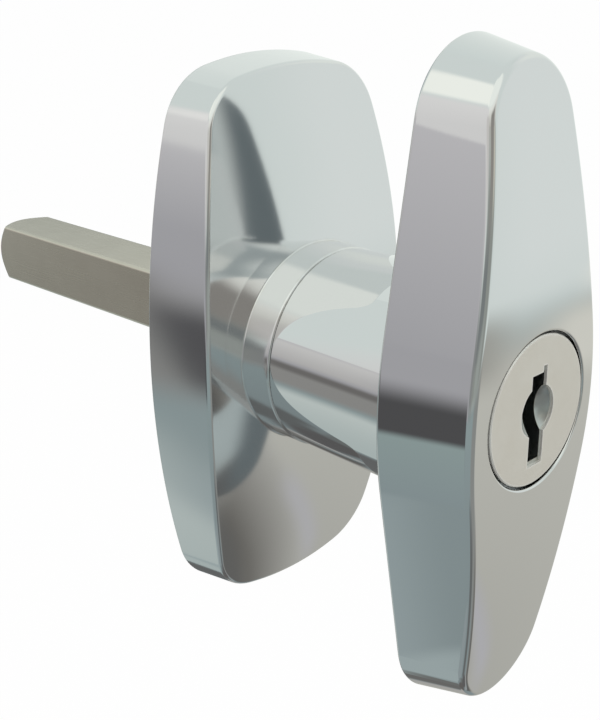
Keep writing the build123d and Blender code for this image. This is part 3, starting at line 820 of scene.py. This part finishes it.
# %% [markdown]
# ## The studio
#
# Chrome is lit by what stands around it, so the studio comes before the finishes. The photograph has a white
# background. A stronger lamp could burn it out, but that would burn the chrome too. Instead the world and the
# floor ask the Light Path node what kind of ray comes: one that looks straight at them sees white, and the
# soft light that they send to the object stays at a plain level.

# %% White world
DIFFUSE_LEVEL = 0.8
world = bpy.data.worlds.new("white_room")
scene.world = world
world.use_nodes = True
draw = blank(world.node_tree)


def seen_directly(draw):
    """1 for the rays of the camera, of reflections and of glass, and 0 for the soft light."""
    rays = ("Is Camera Ray", "Is Glossy Ray", "Is Transmission Ray")
    camera_ray, glossy_ray, glass_ray = (draw.node("LightPath", out=ray) for ray in rays)
    return draw.maths("MINIMUM", camera_ray + glossy_ray + glass_ray, 1.0)


strength = DIFFUSE_LEVEL + (1 - DIFFUSE_LEVEL) * seen_directly(draw)
sky = draw.node("Background", {}, {"Color": (1, 1, 1), "Strength": strength})
draw.node("OutputWorld", {}, {"Surface": sky})
print("world level for soft light:", DIFFUSE_LEVEL)

# %% Pale floor
FLOOR_HEIGHT, FLOOR_HALF, FLOOR_WHITE = -0.2, 6.0, 0.97
floor_finish, draw = new_finish("pale_floor")
grain = draw.node("TexCoord", out="Object").noise(3.0)
matt = draw.node("BsdfDiffuse", {}, {"Color": grain.mix((0.83, 0.83, 0.82), (0.87, 0.87, 0.86))})
glow = draw.node("Emission", {}, {"Color": (1, 1, 1), "Strength": 1.0})
shown = draw.node("MixShader", {}, {0: FLOOR_WHITE * seen_directly(draw), 1: matt, 2: glow})
draw.node("OutputMaterial", {}, {"Surface": shown})


def stage_piece(name, verts, faces, made):
    """A piece of the studio, which is no part of the handle."""
    mesh = bpy.data.meshes.new(name)
    mesh.from_pydata(verts, [], faces)
    mesh.materials.append(made)
    piece = bpy.data.objects.new(name, mesh)
    scene.collection.objects.link(piece)
    return piece


floor = stage_piece("pale_floor", [
    (x * FLOOR_HALF, y * FLOOR_HALF, FLOOR_HEIGHT) for x, y in ((-1, -1), (1, -1), (1, 1), (-1, 1))
], [(0, 1, 2, 3)], floor_finish)
floor.visible_glossy = False
print("floor at", FLOOR_HEIGHT, "m")

# %% [markdown]
# ## A bowl of cards
#
# The handle itself isn't white: its side shows a lilac grey, a dark band just under the horizon and a blue
# green below, and its face turns from a pale green to a warm grey. A photographer gets this with cards on
# stands. Here they are joined into one large bowl that only reflections see. It could be an image wrapped
# round the scene, but cards are easier to move: each has a colour, a left and a right edge by compass, a low
# and a high edge by elevation, and edges as soft as it needs. A card laid later covers those before it.

# %% Directions in the bowl, and how a card is laid
BOWL_RADIUS = 20.0
BOWL_CENTRE = Vector((0, -0.02, 0))
bowl_finish, draw = new_finish("card_bowl")
place = draw.node("TexCoord", out="Object")
way = draw.node("VectorMath", {"operation": "NORMALIZE"}, {0: place})
x, y, z = (draw.node("SeparateXYZ", {}, {0: way}, axis) for axis in "XYZ")


class Cards:
    """The colours of the bowl, in degrees of compass and elevation. Compass 0 is straight ahead."""

    def __init__(self, colour, compass, elevation):
        self.colour, self.compass, self.elevation, self.count = colour, compass, elevation, 0

    def lay(self, colours, left, right, low, high, side_fade=6.0, end_fade=2.0, slope=0.0):
        """Lays a card with soft edges. With two colours it goes from the first at its low edge to the
        second at its high edge. A slope tilts it, by that much elevation for each degree to the right."""
        level = self.elevation
        if slope:
            level = level - slope * (self.compass - (left + right) / 2)
        ends = (level - low).between(-end_fade, end_fade) * (high - level).between(-end_fade, end_fade)
        mask = ends * (self.compass - left).between(-side_fade, side_fade)
        mask = mask * (right - self.compass).between(-side_fade, side_fade)
        graded = isinstance(colours[0], tuple)
        colour = ((level - low) / (high - low)).mix(*colours) if graded else colours
        self.colour = mask.mix(self.colour, colour)
        self.count += 1


PALE_GREEN = (0.67, 0.735, 0.715)
bare = draw.node("RGB")
bare.socket.default_value = (*PALE_GREEN, 1)
compass = draw.maths("ARCTAN2", x, 0 - y) * (180 / pi)
elevation = draw.maths("ARCSINE", z) * (180 / pi)
cards = Cards(bare, compass, elevation)
print("bowl of cards, radius", BOWL_RADIUS, "m")

# %% Walls and ceiling
cards.lay(((0.87, 0.92, 0.88), (0.67, 0.74, 0.72)), 84, 200, -12, 72, 14, 3)
cards.lay((0.725, 0.775, 0.76), 44, 86, -12, 50, 10, 4)
cards.lay((0.79, 0.84, 0.80), 54, 110, 18, 38, 8, 7)
cards.lay((0.88, 0.93, 0.88), -104, 12, 38, 80, 8, 4)
cards.lay((0.95, 0.985, 0.92), -123, -84, 39, 66, 6, 3)
cards.lay(((0.44, 0.43, 0.39), (0.87, 0.89, 0.84)), -76, 8, 12, 38, 8, 3)
print("cards, with walls and ceiling:", cards.count)

# %% The whole floor, cool on the left and warm on the right
cards.lay(((0.21, 0.245, 0.255), (0.28, 0.345, 0.35)), -200, 200, -96, -15, 8, 3)
cards.lay(((0.33, 0.40, 0.40), (0.54, 0.60, 0.58)), -200, -134, -72, -29, 6, 4)
cards.lay(((0.40, 0.40, 0.37), (0.55, 0.55, 0.50)), 26, 150, -56, -16, 8, 3)
cards.lay((0.66, 0.66, 0.60), 58, 150, -20, -15, 8, 1.5)
cards.lay((0.82, 0.83, 0.78), 70, 150, -14, -12, 8, 1)
cards.lay((0.37, 0.37, 0.34), 12, 46, -19.5, -14, 6, 2)
print("cards, with the floor:", cards.count)

# %% [markdown]
# The left walls of the bar and of the plate mirror what stands on the left. The bar shows a crisp step from
# a grey wall to a lilac one. The elevation hardly changes along its straight side, so a clean step there
# needs a card with almost no fade, and the step's tilt is the slope of the card. Under the lilac wall comes
# the dark gap, and then the cool floor, with one lighter panel that only the bar's rounded end reaches.

# %% Left side: grey over lilac, with a dark gap under them
LILAC, LILAC_TOP = (0.385, 0.385, 0.405), (0.53, 0.525, 0.54)
cards.lay(((0.67, 0.67, 0.665), (0.75, 0.75, 0.74)), -134, -72, 2, 36, 5, 4)
cards.lay((0.84, 0.84, 0.82), -134, -122, 26, 35, 3, 3)
cards.lay((0.60, 0.59, 0.57), -86, -58, 7.6, 26, 6, 4)
cards.lay(((0.42, 0.42, 0.43), (0.62, 0.62, 0.61)), -200, -130, -10, 8, 5, 4)
cards.lay(LILAC, -138, -80, -17, 8.1, 5, 0.15, -0.08)
cards.lay((LILAC, LILAC_TOP), -138, -80, -3, 8.1, 5, 0.15, -0.08)
cards.lay((LILAC, LILAC_TOP), -112, -80, -3.7, 6.96, 3, 0.1, -0.15)
cards.lay((0.31, 0.37, 0.38), -136, -109, -60, -38, 3, 5)
cards.lay(((0.46, 0.455, 0.45), (0.61, 0.61, 0.60)), -150, -130, -5, 9.5, 2.5, 2)
cards.lay((0.27, 0.27, 0.26), -150, -124, -25, -10, 5, 3)
cards.lay((0.16, 0.155, 0.15), -138, -127, -13, -7.5, 2, 2)
cards.lay((0.085, 0.085, 0.09), -126.9, -108, -24.5, -12.6, 1, 2.5)
cards.lay((0.08, 0.08, 0.083), -114, -91, -34, -14.3, 3, 3.8, -0.05)
cards.lay(((0.255, 0.31, 0.32), (0.28, 0.35, 0.345)), -114, -91, -44, -26.4, 3, 1.2)
print("cards, with the left side:", cards.count)

# %% Low on the left: the panel at the bar's rounded end, and the dark under it
cards.lay((0.28, 0.325, 0.335), -105, -52, -67, -53, 4, 0.4)
cards.lay((0.35, 0.415, 0.42), -160, -105, -70.5, -51.7, 4, 0.4)
cards.lay((0.16, 0.165, 0.16), -200, -152, -82, -71, 4, 1.5)
cards.lay((0.17, 0.185, 0.18), -60, -20, -82, -68, 8, 2)
print("cards, with the low panel:", cards.count)

# %% Front: a dim room between the walls, and a dark floor
cards.lay((0.25, 0.26, 0.26), -82, -50, -17, 2, 6, 4)
cards.lay((0.28, 0.30, 0.28), -60, 15, -16, 12, 9, 4)
cards.lay((0.20, 0.22, 0.22), -62, -24, -4, 5, 5, 3)
cards.lay((0.33, 0.36, 0.34), -40, -8, -14, -4, 6, 3)
cards.lay((0.28, 0.27, 0.25), -38, -2, 6, 29, 5, 4)
cards.lay((0.56, 0.55, 0.48), -6, 10, 4, 12, 5, 3)
cards.lay((0.26, 0.27, 0.26), -20, 30, -50, -16, 8, 4)
cards.lay((0.12, 0.12, 0.12), -20, 40, -96, -58, 8, 3)
cards.lay((0.14, 0.15, 0.15), -35, -4, -64, -42, 4, 5)
cards.lay((0.13, 0.125, 0.12), -200, 200, -96, -78, 8, 3)
print("cards, with the front:", cards.count)

# %% Streaks low on the right, which the plate's lower face mirrors
cards.lay((0.20, 0.20, 0.19), 20, 46, -56, -39, 6, 3)
cards.lay((0.13, 0.13, 0.125), 33, 67, -60, -49, 4, 2, -0.55)
cards.lay(((0.125, 0.12, 0.11), (0.44, 0.44, 0.41)), 33, 69, -50.5, -38, 4, 1.5, -0.55)
cards.lay((0.46, 0.46, 0.48), 48, 68, -42.5, -40, 4, 1.5, -0.4)
cards.lay((0.44, 0.44, 0.43), 20, 60, -65, -61, 6, 2, -0.38)
print("cards, with the streaks:", cards.count)

# %% Behind the plate on the right, mirrored twice between the bar and the plate
cards.lay((0.41, 0.47, 0.47), 151, 200, 0, 36, 4, 3)
cards.lay((0.41, 0.47, 0.47), -200, -168, 14, 36, 4, 3)
cards.lay((0.38, 0.40, 0.39), 140, 200, -50, -36, 6, 3)
cards.lay((0.45, 0.52, 0.52), 144, 168, -35, -16, 4, 3)
cards.lay((0.13, 0.135, 0.135), 138, 178, -58, -40, 6, 1, -0.6)
cards.lay((0.42, 0.41, 0.39), 112, 147, -80, -56, 8, 4)
cards.lay((0.15, 0.15, 0.145), 150, 200, -80, -63, 6, 3)
cards.lay((0.14, 0.17, 0.18), 136, 149.6, -20, 16, 2, 5)
cards.lay((0.15, 0.18, 0.19), 136, 147, -38, -18, 2, 3)
print("cards in all:", cards.count)

# %% Bowl that only reflections see
card_light = draw.node("Emission", {}, {"Color": cards.colour, "Strength": 1.0})
draw.node("OutputMaterial", {}, {"Surface": card_light})

shape = bmesh.new()
bmesh.ops.create_icosphere(shape, subdivisions=5, radius=BOWL_RADIUS)
bmesh.ops.reverse_faces(shape, faces=shape.faces)
mesh = bpy.data.meshes.new("card_bowl")
shape.to_mesh(mesh)
shape.free()
mesh.materials.append(bowl_finish)
bowl = bpy.data.objects.new("card_bowl", mesh)
scene.collection.objects.link(bowl)
bowl.location = BOWL_CENTRE
bowl.visible_camera = bowl.visible_diffuse = bowl.visible_shadow = bowl.visible_transmission = False
print("bowl:", len(mesh.polygons), "faces")

# %% [markdown]
# ## Lamps
#
# The nylon, the rubber, the floor and the face cap, which is only partly metallic, need light with a
# direction, or they look like paper. Two large area lamps stand in for a softbox on the left and one
# overhead. Mirrors don't see them, because the cards already give the chrome its bright places.

# %% Softboxes
def softbox(name, compass_degrees, height_degrees, distance, width, tall, radiance):
    """A soft lamp that faces the handle. Its radiance is what a mirror would show of it, where 1 is white."""
    lamp = bpy.data.lights.new(name, "AREA")
    lamp.shape = "RECTANGLE"
    lamp.size, lamp.size_y = width, tall
    lamp.energy = radiance * pi * width * tall
    lit = bpy.data.objects.new(name, lamp)
    scene.collection.objects.link(lit)
    flat, lift = radians(compass_degrees), radians(height_degrees)
    direction = Vector((sin(flat) * cos(lift), -cos(flat) * cos(lift), sin(lift)))
    lit.location = BOWL_CENTRE + direction * distance
    lit.rotation_euler = direction.to_track_quat("Z", "Y").to_euler()
    lit.visible_camera = lit.visible_glossy = False
    print(name, round(lamp.energy, 3), "W")


softbox("side_softbox", -107, 50, 0.8, 0.34, 0.28, 1.35)
softbox("top_softbox", 30, 65, 0.8, 0.5, 0.5, 1.5)

# %% [markdown]
# ## Finishes
#
# Each finish starts from one shader for metal and plastic alike. What varies over a surface is drawn by noise
# in millimetres, and edges are found by comparing the true normal with one that is smoothed over a small
# distance. Painted image maps would do the same, but noise needs no unwrapping and holds at any size.

# %% Shared parts of the finishes
slots = {}


def edge_mask_of(draw, width):
    """1 on an edge and 0 on open surfaces. Most finishes wear there; on the face cap it marks a painted
    highlight.
    """
    soft = draw.node("Bevel", {"samples": 4}, {"Radius": width * MM})
    true = draw.node("NewGeometry", out="Normal")
    same = draw.node("VectorMath", {"operation": "DOT_PRODUCT"}, {0: soft, 1: true}, "Value")
    return (1 - same).between(0.005, 0.12)


def begun(slot, name, edge):
    """A finish for a slot: its first wire, the place on the object in millimetres, and a mask of its edges.
    """
    slots[slot], draw = new_finish(name)
    place = draw.node("TexCoord", out="Object").stretched(1 / MM, 1 / MM, 1 / MM)
    return draw, place, edge_mask_of(draw, edge)


def shaded(draw, colour, metallic, roughness, height, distance):
    """The closing nodes of a finish: a bump, this many millimetres high, and the principled shader."""
    bump = draw.node("Bump", {}, {"Strength": 1.0, "Distance": distance * MM, "Height": height})
    links = {"Base Color": colour, "Metallic": metallic, "Roughness": roughness, "Normal": bump}
    draw.node("OutputMaterial", {}, {"Surface": draw.node("BsdfPrincipled", {}, links)})
    print("finish of", len(draw.tree.nodes), "nodes")

# %% [markdown]
# ### Polished chrome
#
# Both castings are buffed, plated with nickel and then with chrome. The finish gives back a little over four
# fifths of the light, without a tint. A roughness of 0 would look drawn, so the wheel's lines and a faint
# haze vary it. The bar and the shank are buffed longer than the plate, and mirror almost perfectly. The long
# waves of the polish bend a reflection a little, as they do on any casting. Edges wear towards the nickel.

# %% Chrome
draw, place, edge_mask = begun("chrome_casting", "polished_chrome", 0.5)
polish, haze = place.noise(0.12, 1.0), place.noise(0.35, 4.0)
wheel = place.stretched(3, 3, 0.3).noise(2.5, 3.0)
depth = 0 - place.node("SeparateXYZ", {}, {0: place}, "Y")
buffed_longer = depth.between(COLLAR_FRONT, SHANK_LIP)
edge_mask = edge_mask * place.noise(0.9, 3.0).between(0.35, 0.7)
colour = edge_mask.mix((0.85, 0.85, 0.85), (0.74, 0.72, 0.67))
roughness = 0.08 - buffed_longer * 0.072 + haze * 0.012 + wheel * 0.008 + edge_mask * 0.12
shaded(draw, colour, 1.0, roughness, polish + wheel * 0.03, 0.004)

# %% [markdown]
# ### Steels
#
# The spindle is drawn bar, so its lines run along it and its skin is a warm grey. The pins are ground, with
# fine lines. The stop washer, the cam disc and the locking bolt are zinc plated, which blooms in cool and
# warm patches, and the springs and clips are blued and dark with oil. One noise could serve them all, but
# the lines of the spindle and of the pins need it stretched along them.

# %% Drawn steel of the spindle
draw, place, edge_mask = begun("spindle_steel", "drawn_steel", 0.35)
drawn_lines = place.stretched(6, 0.04, 6).noise(1.0, 4.0, 0.7)
stain = place.noise(0.25, 4.0)
colour = stain.mix((0.71, 0.645, 0.55), (0.81, 0.745, 0.64))
colour = edge_mask.mix(colour, (0.84, 0.81, 0.75))
shaded(draw, colour, 1.0, 0.20 + drawn_lines * 0.12 - edge_mask * 0.06, drawn_lines, 0.004)

# %% Ground pins
draw, place, edge_mask = begun("pin_steel", "ground_steel", 0.15)
ground_lines = place.stretched(0.4, 9, 9).noise(1.0, 3.0)
colour = edge_mask.mix((0.50, 0.49, 0.47), (0.66, 0.65, 0.63))
shaded(draw, colour, 1.0, 0.22 + ground_lines * 0.15, ground_lines, 0.002)

# %% Zinc-plated stop washer, cam disc and bolt
draw, place, edge_mask = begun("zinc_steel", "zinc_plated_steel", 0.2)
bloom, crystals = place.noise(0.45, 5.0, 0.6), place.noise(5.0, 3.0)
colour = bloom.ramp((0.3, (0.50, 0.53, 0.56)), (0.5, (0.58, 0.59, 0.58)), (0.72, (0.60, 0.57, 0.50)))
colour = edge_mask.mix(colour, (0.68, 0.68, 0.66))
shaded(draw, colour, 1.0, 0.28 + crystals * 0.2 - edge_mask * 0.08, crystals, 0.004)

# %% Springs and clips
draw, place, edge_mask = begun("spring_steel", "blued_spring_steel", 0.15)
oil, fine = place.noise(0.6, 4.0), place.noise(8.0, 2.0)
colour = oil.mix((0.10, 0.10, 0.11), (0.17, 0.155, 0.14))
colour = edge_mask.mix(colour, (0.46, 0.45, 0.43))
shaded(draw, colour, 1.0, 0.34 + fine * 0.2 - edge_mask * 0.08, fine, 0.003)

# %% [markdown]
# ### The lock
#
# The round face is a thin stainless cap with a satin grain. Its rounded rim is smoother, and its colour there
# is lightened towards white as a painted highlight. It looks paler and softer than bare metal, so it is only
# partly metallic here. Behind it stand a zinc housing, which is left as cast, a plug that is plated so that
# the key slides in, and stamped brass wafers, which tarnish and carry drag marks along the way that they
# slide.

# %% Face cap
draw, place, edge_mask = begun("face_steel", "satin_stainless", 0.35)
grain, smear = place.noise(9.0, 3.0, 0.6), place.noise(0.4, 3.0)
colour = smear.mix((0.70, 0.67, 0.60), (0.76, 0.74, 0.68))
# The edge mask lightens the rim to a near white, which is a painted highlight of the rounded rim. Its lower
# roughness there is the rim's own smoothness.
colour = edge_mask.mix(colour, (0.92, 0.92, 0.89))
shaded(draw, colour, 0.45, 0.30 + grain * 0.14 + smear * 0.06 - edge_mask * 0.15, grain, 0.002)

# %% Housing and plug
draw, place, edge_mask = begun("zinc_casting", "raw_zinc", 0.2)
flow, skin_grain = place.stretched(1, 0.4, 1).noise(0.5, 4.0), place.noise(6.0, 3.0)
colour = flow.mix((0.36, 0.37, 0.38), (0.46, 0.47, 0.47))
colour = edge_mask.mix(colour, (0.60, 0.60, 0.60))
shaded(draw, colour, 1.0, 0.42 + skin_grain * 0.2 - edge_mask * 0.1, skin_grain, 0.006)

draw, place, edge_mask = begun("plug_zinc", "plated_plug", 0.15)
cast, scratches = place.noise(4.0, 3.0), place.stretched(0.6, 5, 5).noise(1.0, 3.0, 0.7)
colour = edge_mask.mix((0.60, 0.62, 0.61), (0.62, 0.58, 0.50))
shaded(draw, colour, 1.0, 0.16 + cast * 0.1 + scratches * 0.06, cast + scratches * 0.5, 0.004)

# %% Brass wafers
draw, place, edge_mask = begun("wafer_brass", "stamped_brass", 0.1)
tarnish, drag = place.noise(0.8, 4.0), place.stretched(5, 5, 0.3).noise(1.0, 3.0)
colour = tarnish.mix((0.56, 0.40, 0.17), (0.72, 0.55, 0.27))
colour = edge_mask.mix(colour, (0.82, 0.68, 0.40))
shaded(draw, colour, 1.0, 0.26 + drag * 0.16 - edge_mask * 0.06, drag, 0.003)

# %% [markdown]
# ### Rubber and nylon
#
# The gasket is moulded rubber: nearly black, dusty, with fine pores. The O-ring on the journal is the same
# stuff, but greased, so its gloss comes and goes. The thrust washer is natural nylon, a milky white that
# wears grey along its edges. These need no metal, only a rough shader with a little bump.

# %% Gasket and seal
draw, place, edge_mask = begun("gasket_rubber", "gasket_rubber", 0.2)
dust, pores = place.noise(0.5, 4.0), place.noise(7.0, 3.0)
colour = dust.mix((0.020, 0.020, 0.021), (0.034, 0.034, 0.033))
colour = edge_mask.mix(colour, (0.055, 0.054, 0.052))
shaded(draw, colour, 0.0, 0.62 + pores * 0.2, pores, 0.02)

draw, place, edge_mask = begun("seal_rubber", "seal_rubber", 0.15)
grease, pores = place.noise(0.7, 3.0), place.noise(9.0, 2.0)
colour = edge_mask.mix((0.016, 0.016, 0.016), (0.035, 0.035, 0.034))
shaded(draw, colour, 0.0, 0.30 + grease * 0.25, pores, 0.008)

# %% Thrust washer
draw, place, edge_mask = begun("washer_nylon", "natural_nylon", 0.15)
cloud, grain = place.noise(0.6, 3.0), place.noise(5.0, 3.0)
colour = cloud.mix((0.66, 0.64, 0.58), (0.74, 0.72, 0.66))
colour = edge_mask.mix(colour, (0.50, 0.49, 0.46))
shaded(draw, colour, 0.0, 0.36 + grain * 0.2, grain, 0.006)
print("finishes:", ", ".join(sorted(slots)))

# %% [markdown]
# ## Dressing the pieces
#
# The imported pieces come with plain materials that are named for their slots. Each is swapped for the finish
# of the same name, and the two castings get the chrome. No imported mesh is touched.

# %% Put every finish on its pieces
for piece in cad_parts.values():
    for held in piece.material_slots:
        held.material = slots[held.material.name.split(".")[0]]
for piece in (handle_casting, escutcheon_casting):
    piece.data.materials.append(slots["chrome_casting"])
print("dressed", len(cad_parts), "packed pieces and 2 castings")
